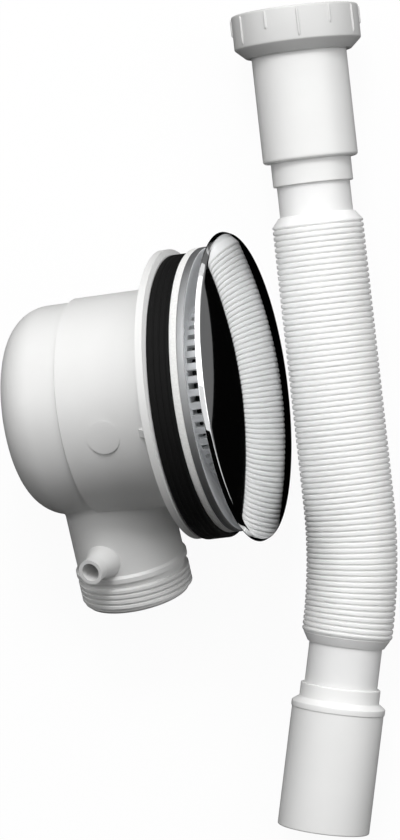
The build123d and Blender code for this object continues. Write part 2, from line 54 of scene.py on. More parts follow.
# Trap, in mm from the top face of its flange: heights go towards the cover, depths into the cup
BODY_RADIUS = 45.8
SEAM_DEPTH = 44.0
SEAM_STEP = 1.4
SEAM_GROOVE_WIDTH = 0.7
SEAM_GROOVE_DEPTH = 0.7
SEAM_CLEAR_OF_OUTLET = 30.0
PAD_DEPTH = 26.4
PAD_RADIUS = 7.0
OUTLET_DEPTH = 42.0
OUTLET_REACH = 86.0
OUTLET_LAND_START = 73.4
OUTLET_LAND_CHAMFER = 0.8
OUTLET_CHAMFER_GRADE = 0.6
THREAD_RADIUS = 23.9
THREAD_ROOT = 22.4
THREAD_PITCH = 2.309
THREAD_TURNS = 4.7
THREAD_START = 74.1
THREAD_SINK = 0.1
THREAD_FOOT_SHARE = 0.96
THREAD_CREST_SHARE = 0.5
THREAD_FADE_TURNS = 0.3
THREAD_END_SHARE = 0.05
SEAL_RADIUS = 59.9
SEAL_BORE = 48.5
SEAL_THICKNESS = 10.0
SEAL_SHIFT = 1.8
SEAL_GROOVES = (2.9, 5.4, 7.9)
SEAL_GROOVE_DEPTH = 0.35
SEAL_GROOVE_WIDTH = 1.0
GASKET_RADIUS = 59.6
GASKET_BORE = 55.5
GASKET_THICKNESS = 3.2
WASTE_RADIUS = 59.7
WASTE_RIM = 3.5
WASTE_SHEET = 1.6
WASTE_SLOPE = math.radians(19.0)
WASTE_SEAT_RADIUS = 37.4
WASTE_STEP_GAP = 0.5
WASTE_OPENING = 32.0
SKIRT_RADIUS = 42.0
SKIRT_WALL = 2.6
SKIRT_DEPTH = 9.7
COVER_RADIUS = 65.0
COVER_HEIGHT = 22.7
COVER_RIM_WIDTH = 1.0
COVER_RIM_RISE = 2.2
COVER_RIM_START = 1.0
COVER_CURVE = 300.0
COVER_SHEET = 1.5
COVER_RIB_BORE = 36.7
COVER_RIB_WALL = 1.6
COVER_RIB_HEIGHT = 3.0

# Pipe, in mm along its centre line from the open end of the nut
NUT_RADIUS = 27.2
NUT_LENGTH = 18.6
NUT_SHOULDER = 13.0
NUT_BORE = 24.05
NUT_SEAT = 23.6
NUT_THREAD_END = 8.0
NUT_HOLE = 20.8
NUT_CONE_LENGTH = 4.2
NUT_CONE_WIDTH = 4.6
NUT_RIBS = 6
NUT_RIB_START = 0.8
NUT_RIB_WIDTH = 1.3
NUT_RIB_HEIGHT = 0.6
NUT_RIB_LENGTH = 12.5
NUT_SHORT_RIB_LENGTH = 8.0
NUT_RIB_END_SHARPNESS = 8.0
NUT_RIB_END_SHARE = 0.15
NUT_THREAD_CREST = 22.95
NUT_THREAD_START = 0.9
NUT_THREAD_TURNS = 2.6
SLEEVE_START = 10.5
SLEEVE_FLANGE_END = 12.9
SLEEVE_FLANGE_RADIUS = 23.3
SLEEVE_RADIUS = 20.4
SLEEVE_WALL = 2.2
SLEEVE_END = 64.2
COLLAR_RADIUS = 17.2
INLET_COLLAR_END = 74.4
SOCKET_RADIUS = 15.75
CUFF_INSERT = 5.0
CUFF_RADIUS = 15.7
CUFF_BORE = 13.6
INLET_CUFF_LENGTH = 13.4
INLET_CONE_LENGTH = 3.6
OUTLET_CUFF_LENGTH = 18.0
OUTLET_CONE_LENGTH = 5.0
CONE_STEP = 0.9
CONE_STEP_SHARE = 0.05
FOLD_RADIUS = 19.5
FOLD_DEPTH = 1.3
FOLD_WALL = 1.2
FOLD_PITCH = 2.4
GROOVE_DEPTH = 1.0
GROOVE_SHARPNESS = 10.0
PIPE_RUN_IN = 211.0
PIPE_BEND_RADIUS = 235.0
SPIGOT_RADIUS = 19.8
SPIGOT_WALL = 2.2
SPIGOT_LENGTH = 51.5
RIM_HEIGHT = 0.4
RIM_END = 54.0
RIM_CONE_END = 56.0
OUTLET_COLLAR_END = 62.0

# Roundings of the edges, in mm
CRISP_EDGE = 0.2
FINE_EDGE = 0.3
PLAIN_EDGE = 0.4
EASED_EDGE = 0.5
SOFT_EDGE = 0.6
FULL_EDGE = 0.8
ROUND_EDGE = 1.0
SEAL_EDGE = 0.9
WASTE_RIM_EDGE = 0.9
COVER_RIM_EDGE = 0.7
SLEEVE_SHOULDER_EDGE = 2.2
SPIGOT_END_EDGE = 0.7
NUT_CONE_EDGE = 1.2
NUT_FOOT_EDGE = 0.7

# How far a face's normal goes along the trap's axis where the flange's dish and the cover's hollow begin
DISH_FACING = 0.8
HOLLOW_FACING = -0.3

# Studio, in metres, and the part of the floor's white that doesn't depend on the lamps
FLOOR_SIZE = 6
LAMP_AIM = Vector((0, 0, 0.05))
WHITE_SHARE = 0.95

# Fineness of the meshes
TURN_STEPS = 160
FOLD_STEPS = 12
PIPE_SIDES = 76
BORE_STEP = 3.0
CORNER_STEPS = 4
CAP_STEPS = 40
CURVE_STEPS = 48
THREAD_STEPS = 72
RIB_SIDES = 12
RIB_STEPS = 16
SMOOTH_ANGLE = math.radians(32)

# Slack in mm for finding points of the body's mesh and for merging them
ON_SEAM_PLANE = 0.02
ON_WALL = 0.05
MARGIN = 0.1
MERGE_WITHIN = 0.001

# Length of a blended normal below which the face's own is taken
SHORTEST_NORMAL = 0.5

record = frame["record"]
mounts = {mount["name"]: mount for mount in record["mounts"]}
swivel = frame["joints"][0]


def mount_line(name):
    """Middle and direction of one of the record's mounts."""
    mount = mounts[name]
    return Vector(mount["pos_m"]), Vector(mount["axis"]).normalized()


def seat(origin, axis, side):
    """Matrix that puts a piece drawn in mm about Z on an axis of the frame, with X towards a side."""
    along = axis.normalized()
    across = (side - side.project(along)).normalized()
    turned_frame = Matrix((across, along.cross(across), along)).transposed().to_4x4()
    return Matrix.Translation(origin) @ turned_frame @ Matrix.Scale(MM, 4)


# Axes of the trap and the pipe, read from the mounts and the nut's joint
UP = Vector((0, 0, 1))
outlet_middle, outlet_axis = mount_line("outlet_thread")
trap_axis = mount_line("tray_clamp")[1]
spigot_middle, tail_axis = mount_line("spigot")
nut_end = Vector(swivel["pos_m"])
pipe_axis = Vector(swivel["axis"]).normalized()
outlet_land = mounts["outlet_thread"]["dims"]["length_mm"]
land_middle = OUTLET_REACH - OUTLET_LAND_CHAMFER - outlet_land / 2
outlet_origin = outlet_middle - outlet_axis * land_middle * MM
trap_origin = outlet_origin + trap_axis * OUTLET_DEPTH * MM
tail_end = spigot_middle + tail_axis * SPIGOT_LENGTH / 2 * MM
TRAP_SEAT = seat(trap_origin, trap_axis, outlet_axis)
SEAL_SEAT = seat(trap_origin + outlet_axis * SEAL_SHIFT * MM, trap_axis, outlet_axis)
OUTLET_SEAT = seat(outlet_origin, outlet_axis, trap_axis)
PIPE_SEAT = seat(nut_end, pipe_axis, UP)
TAIL_SEAT = seat(tail_end, -tail_axis, UP)


def linear(hex_colour):
    """Linear colour of an sRGB hex value."""
    channels = [int(hex_colour[place:place + 2], 16) / 255 for place in (1, 3, 5)]
    return [c / 12.92 if c <= 0.04045 else ((c + 0.055) / 1.055) ** 2.4 for c in channels] + [1.0]


def add(tree, kind, sockets=None, **settings):
    """Adds a node with its settings. Sockets go by name or place, with a value, an output or a whole node."""
    node = tree.nodes.new(kind)
    for name, value in settings.items():
        setattr(node, name, value)
    for key, value in (sockets or {}).items():
        if isinstance(value, bpy.types.Node):
            value = value.outputs[0]
        if isinstance(value, bpy.types.NodeSocket):
            tree.links.new(value, node.inputs[key])
        else:
            node.inputs[key].default_value = value
    return node


def new_material(name):
    """Empty node material with its tree, its surface shader and its Object coordinates in metres."""
    material = bpy.data.materials.new(name)
    material.use_nodes = True
    tree = material.node_tree
    shader = tree.nodes["Principled BSDF"]
    place = add(tree, "ShaderNodeTexCoord").outputs["Object"]
    return material, tree, shader, place


def per_metre(size_mm):
    """Noise scale, in Object coordinates, that gives features of a size in mm."""
    return 1 / (size_mm * MM)


def moulded_polypropylene(name, shade, light):
    """Injection-moulded white polypropylene: a satin skin, faint flow clouds and a fine tool texture."""
    material, tree, shader, place = new_material(name)
    clouds = add(tree, "ShaderNodeTexNoise", {"Vector": place, "Scale": per_metre(28), "Detail": 3.0})
    tint = add(tree, "ShaderNodeMix", {
        "Factor": clouds.outputs["Fac"], "A": linear(shade), "B": linear(light),
    }, data_type="RGBA")
    satin = add(tree, "ShaderNodeMapRange", {
        "Value": clouds.outputs["Fac"], "To Min": 0.38, "To Max": 0.5,
    })
    # The tool texture is finer than this; it is drawn at 0.9 mm so that it shows
    grain = add(tree, "ShaderNodeTexNoise", {"Vector": place, "Scale": per_metre(0.9), "Detail": 2.0})
    bump = add(tree, "ShaderNodeBump", {
        "Height": grain.outputs["Fac"], "Strength": 0.05, "Distance": 0.0002,
    })
    tree.links.new(tint.outputs["Result"], shader.inputs["Base Color"])
    tree.links.new(satin.outputs["Result"], shader.inputs["Roughness"])
    tree.links.new(bump.outputs["Normal"], shader.inputs["Normal"])
    shader.inputs["IOR"].default_value = 1.49
    return material


def blown_polyethylene():
    """Blow-moulded white polyethylene: waxy, softer in gloss than moulded pieces, and light glows in it."""
    material, tree, shader, place = new_material("white_polyethylene_blown")
    clouds = add(tree, "ShaderNodeTexNoise", {"Vector": place, "Scale": per_metre(14), "Detail": 2.0})
    tint = add(tree, "ShaderNodeMix", {
        "Factor": clouds.outputs["Fac"], "A": linear("#F4F4F3"), "B": linear("#FBFBFA"),
    }, data_type="RGBA")
    wax = add(tree, "ShaderNodeMapRange", {
        "Value": clouds.outputs["Fac"], "To Min": 0.4, "To Max": 0.52,
    })
    tree.links.new(tint.outputs["Result"], shader.inputs["Base Color"])
    tree.links.new(wax.outputs["Result"], shader.inputs["Roughness"])
    shader.inputs["IOR"].default_value = 1.51
    shader.inputs["Subsurface Weight"].default_value = 0.6
    shader.inputs["Subsurface Radius"].default_value = (1.0, 1.0, 1.0)
    shader.inputs["Subsurface Scale"].default_value = 3.0 * MM
    return material


def foam_gasket():
    """Closed-cell polyethylene foam: bright, matt, with small cells on the cut faces."""
    material, tree, shader, place = new_material("white_foam_cut")
    cells = add(tree, "ShaderNodeTexVoronoi", {"Vector": place, "Scale": per_metre(0.8)})
    tint = add(tree, "ShaderNodeMix", {
        "Factor": cells.outputs["Distance"], "A": linear("#EEEEED"), "B": linear("#E0E0DE"),
    }, data_type="RGBA")
    bump = add(tree, "ShaderNodeBump", {
        "Height": cells.outputs["Distance"], "Strength": 0.15, "Distance": 0.0002,
    })
    tree.links.new(tint.outputs["Result"], shader.inputs["Base Color"])
    tree.links.new(bump.outputs["Normal"], shader.inputs["Normal"])
    shader.inputs["Roughness"].default_value = 0.85
    return material


def moulded_rubber():
    """Compression-moulded black rubber: nearly black and dull, with a slightly clouded skin."""
    material, tree, shader, place = new_material("black_rubber_moulded")
    bloom = add(tree, "ShaderNodeTexNoise", {"Vector": place, "Scale": per_metre(6), "Detail": 4.0})
    tint = add(tree, "ShaderNodeMix", {
        "Factor": bloom.outputs["Fac"], "A": linear("#070707"), "B": linear("#0F0F0F"),
    }, data_type="RGBA")
    dull = add(tree, "ShaderNodeMapRange", {
        "Value": bloom.outputs["Fac"], "To Min": 0.62, "To Max": 0.8,
    })
    tree.links.new(tint.outputs["Result"], shader.inputs["Base Color"])
    tree.links.new(dull.outputs["Result"], shader.inputs["Roughness"])
    shader.inputs["Specular IOR Level"].default_value = 0.1
    return material


def plated_chrome():
    """Bright chrome plated on moulded plastic: a mirror with a very slight wave from the plastic below."""
    material, tree, shader, place = new_material("chrome_plated_plastic")
    wave = add(tree, "ShaderNodeTexNoise", {"Vector": place, "Scale": per_metre(18), "Detail": 1.0})
    polish = add(tree, "ShaderNodeMapRange", {
        "Value": wave.outputs["Fac"], "To Min": 0.02, "To Max": 0.05,
    })
    bump = add(tree, "ShaderNodeBump", {
        "Height": wave.outputs["Fac"], "Strength": 0.02, "Distance": 0.001,
    })
    tree.links.new(polish.outputs["Result"], shader.inputs["Roughness"])
    tree.links.new(bump.outputs["Normal"], shader.inputs["Normal"])
    shader.inputs["Base Color"].default_value = linear("#DCDDDE")
    shader.inputs["Metallic"].default_value = 1.0
    return material


def satin_chrome(name, colour, smoothest, roughest):
    """Satin chrome plated on moulded plastic: a soft metal sheen with faint streaks, not a mirror."""
    material, tree, shader, place = new_material(name)
    streaks = add(tree, "ShaderNodeTexNoise", {"Vector": place, "Scale": per_metre(4), "Detail": 3.0})
    satin = add(tree, "ShaderNodeMapRange", {
        "Value": streaks.outputs["Fac"], "To Min": smoothest, "To Max": roughest,
    })
    bump = add(tree, "ShaderNodeBump", {
        "Height": streaks.outputs["Fac"], "Strength": 0.05, "Distance": 0.0005,
    })
    tree.links.new(satin.outputs["Result"], shader.inputs["Roughness"])
    tree.links.new(bump.outputs["Normal"], shader.inputs["Normal"])
    shader.inputs["Base Color"].default_value = linear(colour)
    shader.inputs["Metallic"].default_value = 1.0
    return material


MATERIALS = {
    "white_polypropylene": moulded_polypropylene("white_polypropylene_moulded", "#F0F0EF", "#F8F8F7"),
    "white_polyethylene": blown_polyethylene(),
    "white_foam": foam_gasket(),
    "black_rubber": moulded_rubber(),
    "chrome_plate": plated_chrome(),
    "satin_chrome": satin_chrome("satin_chrome_plated_plastic", "#88898A", 0.5, 0.62),
}

# The strainer, the flange's dish and the cover's hollow lie in the dome's shade; they take a rougher copy of the
# satin chrome painted far paler: painted light
PAINTED_LIGHT_PLATING = satin_chrome("satin_chrome_painted_light", "#F2F3F4", 0.72, 0.84)

# The body and the nut take copies of the sleeves' plastic painted a little greyer, the nut the greyer: painted
# shade that keeps them from going white under the strong key
BODY_SHADED_PLASTIC = moulded_polypropylene("white_polypropylene_body_shaded", "#DEDEDD", "#E6E6E5")
NUT_SHADED_PLASTIC = moulded_polypropylene("white_polypropylene_nut_shaded", "#D2D2D1", "#DCDCDB")


def finish_piece(piece, slot_name, body, *replaced, finish=None):
    """Gives a new piece its shading and finish, and sets it on its body in place of CAD nodes."""
    mesh = piece.data
    for polygon in mesh.polygons:
        polygon.use_smooth = True
    mesh.set_sharp_from_angle(angle=SMOOTH_ANGLE)
    mesh.materials.clear()
    mesh.materials.append(finish or MATERIALS[slot_name])
    bpy.context.scene.collection.objects.link(piece)
    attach(piece, body)
    if replaced:
        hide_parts(*replaced)


def rounded(corners):
    """Outline of (along, radius) points, from corners that may have a third number, their rounding."""
    outline = []
    for place, corner in enumerate(corners):
        here = Vector(corner[:2])
        if len(corner) == 2:
            outline.append(here)
            continue
        before = Vector(corners[place - 1][:2]) - here
        after = Vector(corners[(place + 1) % len(corners)][:2]) - here
        half_angle = before.angle(after) / 2
        reach = min(corner[2] / math.tan(half_angle), before.length / 2, after.length / 2)
        start = here + before.normalized() * reach
        end = here + after.normalized() * reach
        for step in range(CORNER_STEPS + 1):
            share = step / CORNER_STEPS
            outline.append(start.lerp(here, share).lerp(here.lerp(end, share), share))
    return outline


def turned(name, outline, place):
    """Closed outline of (along, radius) points, turned about its axis and put in its place."""
    shape = bmesh.new()
    rings = []
    for along, radius in outline:
        count = TURN_STEPS if radius > 0 else 1
        angles = [math.tau * step / TURN_STEPS for step in range(count)]
        rings.append([shape.verts.new((radius * math.cos(a), radius * math.sin(a), along)) for a in angles])
    for ring, following in zip(rings, rings[1:] + rings[:1]):
        for step in range(TURN_STEPS):
            corners = (
                ring[step % len(ring)],
                ring[(step + 1) % len(ring)],
                following[(step + 1) % len(following)],
                following[step % len(following)],
            )
            distinct = list(dict.fromkeys(corners))
            if len(distinct) > 2:
                shape.faces.new(distinct)
    bmesh.ops.recalc_face_normals(shape, faces=shape.faces)
    shape.transform(place)
    mesh = bpy.data.meshes.new(name)
    shape.to_mesh(mesh)
    shape.free()
    return bpy.data.objects.new(name, mesh)


def new_tree(name, inputs):
    """Geometry Nodes tree with named inputs. Returns it with its input and output nodes."""
    tree = bpy.data.node_groups.new(name, "GeometryNodeTree")
    tree.interface.new_socket("Geometry", in_out="INPUT", socket_type="NodeSocketGeometry")
    for label, value in inputs.items():
        kind = "NodeSocketInt" if isinstance(value, int) else "NodeSocketFloat"
        tree.interface.new_socket(label, in_out="INPUT", socket_type=kind)
    tree.interface.new_socket("Geometry", in_out="OUTPUT", socket_type="NodeSocketGeometry")
    return tree, add(tree, "NodeGroupInput"), add(tree, "NodeGroupOutput")


def grown(name, tree, host_data, inputs, place=Matrix()):
    """Plain mesh object that a tree makes on its host's data, with its inputs set, put in its place."""
    host = bpy.data.objects.new(name + "_host", host_data)
    bpy.context.scene.collection.objects.link(host)
    modifier = host.modifiers.new(name, "NODES")
    modifier.node_group = tree
    for item in tree.interface.items_tree:
        if item.in_out == "INPUT" and item.name in inputs:
            modifier[item.identifier] = inputs[item.name]
    evaluated = host.evaluated_get(bpy.context.evaluated_depsgraph_get())
    mesh = bpy.data.meshes.new_from_object(evaluated)
    host.modifiers.remove(modifier)
    bpy.data.objects.remove(host)
    mesh.name = name
    mesh.transform(place)
    face_outwards(mesh)
    return bpy.data.objects.new(name, mesh)


def face_outwards(mesh):
    """Turns the faces of each shell of a mesh outwards."""
    shape = bmesh.new()
    shape.from_mesh(mesh)
    bmesh.ops.recalc_face_normals(shape, faces=shape.faces)
    shape.to_mesh(mesh)
    shape.free()


def end_tree(tree, made, geometry, finish):
    """Ends a tree in real meshes with their finish."""
    realized = add(tree, "GeometryNodeRealizeInstances", {"Geometry": geometry})
    finished = add(tree, "GeometryNodeSetMaterial", {"Geometry": realized, "Material": finish})
    tree.links.new(finished.outputs["Geometry"], made.inputs["Geometry"])


def centre_line():
    """Bezier curve along the pipe's folds: two straight runs and the bend between them."""
    bend = pipe_axis.angle(tail_axis)
    corner = PIPE_BEND_RADIUS * math.tan(bend / 2)
    bend_start = nut_end + pipe_axis * PIPE_RUN_IN * MM
    bend_end = bend_start + (pipe_axis + tail_axis) * corner * MM
    start = nut_end + pipe_axis * (INLET_COLLAR_END - CUFF_INSERT) * MM
    end = tail_end - tail_axis * (OUTLET_COLLAR_END - CUFF_INSERT) * MM
    # Length of the handles with which a Bezier curve follows an arc
    bend_handle = 4 / 3 * math.tan(bend / 4) * PIPE_BEND_RADIUS * MM
    curve = bpy.data.curves.new("pipe_centre_line", "CURVE")
    curve.dimensions = "3D"
    curve.resolution_u = CURVE_STEPS
    spline = curve.splines.new("BEZIER")
    spline.bezier_points.add(3)
    straight_in = (bend_start - start).length / 3
    straight_out = (end - bend_end).length / 3
    stations = (
        (start, pipe_axis, straight_in, straight_in),
        (bend_start, pipe_axis, straight_in, bend_handle),
        (bend_end, tail_axis, bend_handle, straight_out),
        (end, tail_axis, straight_out, straight_out),
    )
    for point, (place, direction, behind, ahead) in zip(spline.bezier_points, stations):
        point.co = place
        point.handle_left_type = "FREE"
        point.handle_right_type = "FREE"
        point.handle_left = place - direction * behind
        point.handle_right = place + direction * ahead
    bend_length = PIPE_BEND_RADIUS * bend
    run_in = (bend_start - start).length / MM
    run_out = (end - bend_end).length / MM
    return curve, run_in + bend_length + run_out


def concertina_tree(inputs):
    """Tree that sweeps a tube along a curve: plain cuffs, a cone at each end and rounded folds between."""
    tree, given, made = new_tree("concertina", inputs)
    sizes = given.outputs
    along = add(tree, "GeometryNodeSplineParameter").outputs["Length"]
    past_start = add(tree, "ShaderNodeMath", {0: along, 1: sizes["Folds start"]}, operation="SUBTRACT")
    before_end = add(tree, "ShaderNodeMath", {0: sizes["Folds end"], 1: along}, operation="SUBTRACT")
    folds_past = add(tree, "ShaderNodeMath", {0: past_start, 1: sizes["Pitch"]}, operation="DIVIDE")
    half_turns = add(tree, "ShaderNodeMath", {0: folds_past, 1: math.pi}, operation="MULTIPLY")
    wave = add(tree, "ShaderNodeMath", {0: half_turns}, operation="SINE")
    hump = add(tree, "ShaderNodeMath", {0: wave}, operation="ABSOLUTE")
    groove = add(tree, "ShaderNodeMath", {0: hump, 1: sizes["Groove sharpness"]}, operation="POWER")
    dip = add(tree, "ShaderNodeMath", {0: groove, 1: sizes["Groove depth"]}, operation="MULTIPLY")
    wall = add(tree, "ShaderNodeMath", {0: sizes["Crest radius"], 1: dip}, operation="SUBTRACT")
    foot = add(tree, "ShaderNodeMath", {0: sizes["Cuff radius"], 1: sizes["Cone step"]}, operation="ADD")
    bore = sizes["Fold bore"]
    for beyond, cone_length in ((past_start, sizes["Inlet cone"]), (before_end, sizes["Outlet cone"])):
        cones_past = add(tree, "ShaderNodeMath", {0: beyond, 1: cone_length}, operation="DIVIDE")
        cone = add(tree, "ShaderNodeMapRange", {
            "Value": cones_past, "From Min": -1.0, "From Max": 0.0,
            "To Min": foot, "To Max": sizes["Crest radius"],
        })
        wall = add(tree, "ShaderNodeMath", {0: wall, 1: cone}, operation="MINIMUM")
        step = add(tree, "ShaderNodeMapRange", {
            "Value": cones_past, "From Min": -1.0 - CONE_STEP_SHARE, "From Max": -1.0,
            "To Min": sizes["Cuff radius"], "To Max": sizes["Crest radius"],
        })
        wall = add(tree, "ShaderNodeMath", {0: wall, 1: step}, operation="MINIMUM")
        inner_step = add(tree, "ShaderNodeMapRange", {
            "Value": cones_past, "From Min": 0.0, "From Max": CONE_STEP_SHARE,
            "To Min": sizes["Cuff bore"], "To Max": sizes["Fold bore"],
        })
        bore = add(tree, "ShaderNodeMath", {0: bore, 1: inner_step}, operation="MINIMUM")
    section = add(tree, "GeometryNodeCurvePrimitiveCircle", {"Resolution": sizes["Sides"], "Radius": 1.0})
    skins = []
    for radius, step in ((wall, sizes["Ring step"]), (bore, sizes["Bore step"])):
        rings = add(tree, "GeometryNodeResampleCurve", {
            "Curve": sizes["Geometry"], "Length": step,
        }, mode="LENGTH")
        skins.append(add(tree, "GeometryNodeCurveToMesh", {
            "Curve": rings, "Profile Curve": section.outputs["Curve"], "Scale": radius,
        }))
    joined = add(tree, "GeometryNodeJoinGeometry", {"Geometry": skins[0]})
    tree.links.new(skins[1].outputs["Mesh"], joined.inputs["Geometry"])
    end_tree(tree, made, joined, MATERIALS["white_polyethylene"])
    return tree


def close_ends(piece):
    """Closes the pipe's wall with a ring of faces at each end, and turns the whole shell outwards."""
    shape = bmesh.new()
    shape.from_mesh(piece.data)
    open_edges = [edge for edge in shape.edges if edge.is_boundary]
    middle = sum((edge.verts[0].co for edge in open_edges), Vector()) / len(open_edges)
    for side in (-1, 1):
        ends = [edge for edge in open_edges if (edge.verts[0].co - middle).dot(pipe_axis) * side > 0]
        centre = sum((edge.verts[0].co for edge in ends), Vector()) / len(ends)
        between = sum((edge.verts[0].co - centre).length for edge in ends) / len(ends)
        inner = {vert for edge in ends for vert in edge.verts if (vert.co - centre).length < between}
        for first, second in [edge.verts for edge in ends if edge.verts[0] not in inner]:
            pair = [min(inner, key=lambda vert: (vert.co - corner.co).length) for corner in (second, first)]
            shape.faces.new((first, second, *pair))
    bmesh.ops.recalc_face_normals(shape, faces=shape.faces)
    shape.to_mesh(piece.data)
    shape.free()


def flexible_pipe():
    """Concertina pipe with its cuffs, bent as it lies."""
    curve, length = centre_line()
    folds_start = CUFF_INSERT + INLET_CUFF_LENGTH + INLET_CONE_LENGTH
    folds_end = length - CUFF_INSERT - OUTLET_CUFF_LENGTH - OUTLET_CONE_LENGTH
    fold_count = round((folds_end - folds_start) / FOLD_PITCH)
    pitch = (folds_end - folds_start) / fold_count
    inputs = {
        "Folds start": folds_start * MM,
        "Folds end": folds_end * MM,
        "Pitch": pitch * MM,
        "Groove sharpness": GROOVE_SHARPNESS,
        "Crest radius": FOLD_RADIUS * MM,
        "Groove depth": GROOVE_DEPTH * MM,
        "Cuff radius": CUFF_RADIUS * MM,
        "Cone step": CONE_STEP * MM,
        "Inlet cone": INLET_CONE_LENGTH * MM,
        "Outlet cone": OUTLET_CONE_LENGTH * MM,
        "Fold bore": (FOLD_RADIUS - FOLD_DEPTH - FOLD_WALL) * MM,
        "Cuff bore": CUFF_BORE * MM,
        "Ring step": pitch / FOLD_STEPS * MM,
        "Bore step": BORE_STEP * MM,
        "Sides": PIPE_SIDES,
    }
    pipe = grown("concertina_pipe", concertina_tree(inputs), curve, inputs)
    close_ends(pipe)
    finish_piece(pipe, "white_polyethylene", "trap_and_pipe", "flexible_pipe")


def tray_seal():
    """Rubber ring with shallow moulded grooves round its edge."""
    corners = [(0, SEAL_BORE, PLAIN_EDGE), (0, SEAL_RADIUS, SEAL_EDGE)]
    for groove in SEAL_GROOVES:
        corners += [
            (groove - SEAL_GROOVE_WIDTH / 2, SEAL_RADIUS, FINE_EDGE),
            (groove, SEAL_RADIUS - SEAL_GROOVE_DEPTH, FINE_EDGE),
            (groove + SEAL_GROOVE_WIDTH / 2, SEAL_RADIUS, FINE_EDGE),
        ]
    corners += [(SEAL_THICKNESS, SEAL_RADIUS, SEAL_EDGE), (SEAL_THICKNESS, SEAL_BORE, PLAIN_EDGE)]
    ring = turned("rubber_tray_seal", rounded(corners), SEAL_SEAT)
    finish_piece(ring, "black_rubber", "trap_and_pipe", "tray_seal")


def top_gasket():
    """Foam ring with softly rounded edges."""
    top = SEAL_THICKNESS + GASKET_THICKNESS
    corners = [
        (SEAL_THICKNESS, GASKET_BORE, PLAIN_EDGE),
        (SEAL_THICKNESS, GASKET_RADIUS, SOFT_EDGE),
        (top, GASKET_RADIUS, SOFT_EDGE),
        (top, GASKET_BORE, PLAIN_EDGE),
    ]
    ring = turned("foam_top_gasket", rounded(corners), TRAP_SEAT)
    finish_piece(ring, "white_foam", "trap_and_pipe", "top_gasket")


def waste_flange():
    """Dished chrome flange with its skirt."""
    gasket_top = SEAL_THICKNESS + GASKET_THICKNESS
    rim_top = gasket_top + WASTE_RIM
    grade = math.tan(WASTE_SLOPE)
    seat_height = rim_top - (WASTE_RADIUS - WASTE_SEAT_RADIUS) * grade
    step_radius = GASKET_BORE - WASTE_STEP_GAP

    def underside(radius):
        return rim_top - (WASTE_RADIUS - radius) * grade - WASTE_SHEET

    corners = [
        (gasket_top, step_radius, CRISP_EDGE),
        (gasket_top, WASTE_RADIUS, PLAIN_EDGE),
        (rim_top, WASTE_RADIUS, WASTE_RIM_EDGE),
        (seat_height, WASTE_SEAT_RADIUS, ROUND_EDGE),
        (seat_height, WASTE_OPENING, FINE_EDGE),
        (seat_height - WASTE_SHEET, WASTE_OPENING, FINE_EDGE),
        (seat_height - WASTE_SHEET, SKIRT_RADIUS - SKIRT_WALL, EASED_EDGE),
        (-SKIRT_DEPTH, SKIRT_RADIUS - SKIRT_WALL, PLAIN_EDGE),
        (-SKIRT_DEPTH, SKIRT_RADIUS, PLAIN_EDGE),
        (underside(SKIRT_RADIUS), SKIRT_RADIUS, EASED_EDGE),
        (underside(step_radius), step_radius, CRISP_EDGE),
    ]
    flange = turned("chrome_waste_flange", rounded(corners), TRAP_SEAT)
    finish_piece(flange, "satin_chrome", "trap_and_pipe", "waste_flange")
    # The dish, facing the cover, takes the paler plating: painted light in the dome's shade
    flange.data.materials.append(PAINTED_LIGHT_PLATING)
    for polygon in flange.data.polygons:
        polygon.material_index = int(polygon.normal.dot(trap_axis) > DISH_FACING)


def dome_cover():
    """Chrome dome with a rounded rim, hollow below, with the rib that seats on the strainer."""
    cap_radius = COVER_RADIUS - COVER_RIM_WIDTH
    cap_base = COVER_HEIGHT + COVER_RIM_RISE
    centre = cap_base - math.sqrt(COVER_CURVE**2 - cap_radius**2)
    hollow_curve = COVER_CURVE - COVER_SHEET
    hollow_radius = cap_radius - COVER_SHEET
    rib_radius = COVER_RIB_BORE + COVER_RIB_WALL
    rim_start = cap_radius - COVER_RIM_START

    def outside(radius):
        return centre + math.sqrt(COVER_CURVE**2 - radius**2)

    def inside(radius):
        return centre + math.sqrt(hollow_curve**2 - radius**2)

    rib_foot = inside(rib_radius) - COVER_RIB_HEIGHT
    cap_radii = [cap_radius * step / CAP_STEPS for step in range(CAP_STEPS)]
    cap = [(outside(radius), radius) for radius in cap_radii]
    rim = rounded([
        (outside(rim_start), rim_start),
        (cap_base, cap_radius, COVER_RIM_EDGE),
        (COVER_HEIGHT, COVER_RADIUS, PLAIN_EDGE),
        (COVER_HEIGHT, hollow_radius, PLAIN_EDGE),
        (inside(hollow_radius), hollow_radius, FULL_EDGE),
        (inside(rib_radius), rib_radius, PLAIN_EDGE),
        (rib_foot, rib_radius, FINE_EDGE),
        (rib_foot, COVER_RIB_BORE, FINE_EDGE),
        (inside(COVER_RIB_BORE), COVER_RIB_BORE, PLAIN_EDGE),
        (inside(0), 0),
    ])
    dome = turned("chrome_dome_cover", cap + rim, TRAP_SEAT)
    finish_piece(dome, "chrome_plate", "trap_and_pipe", "dome_cover")
    # The hollow below takes the paler plating: painted light, which the flange's dish reflects
    dome.data.materials.append(PAINTED_LIGHT_PLATING)
    for polygon in dome.data.polygons:
        polygon.material_index = int(polygon.normal.dot(trap_axis) < HOLLOW_FACING)


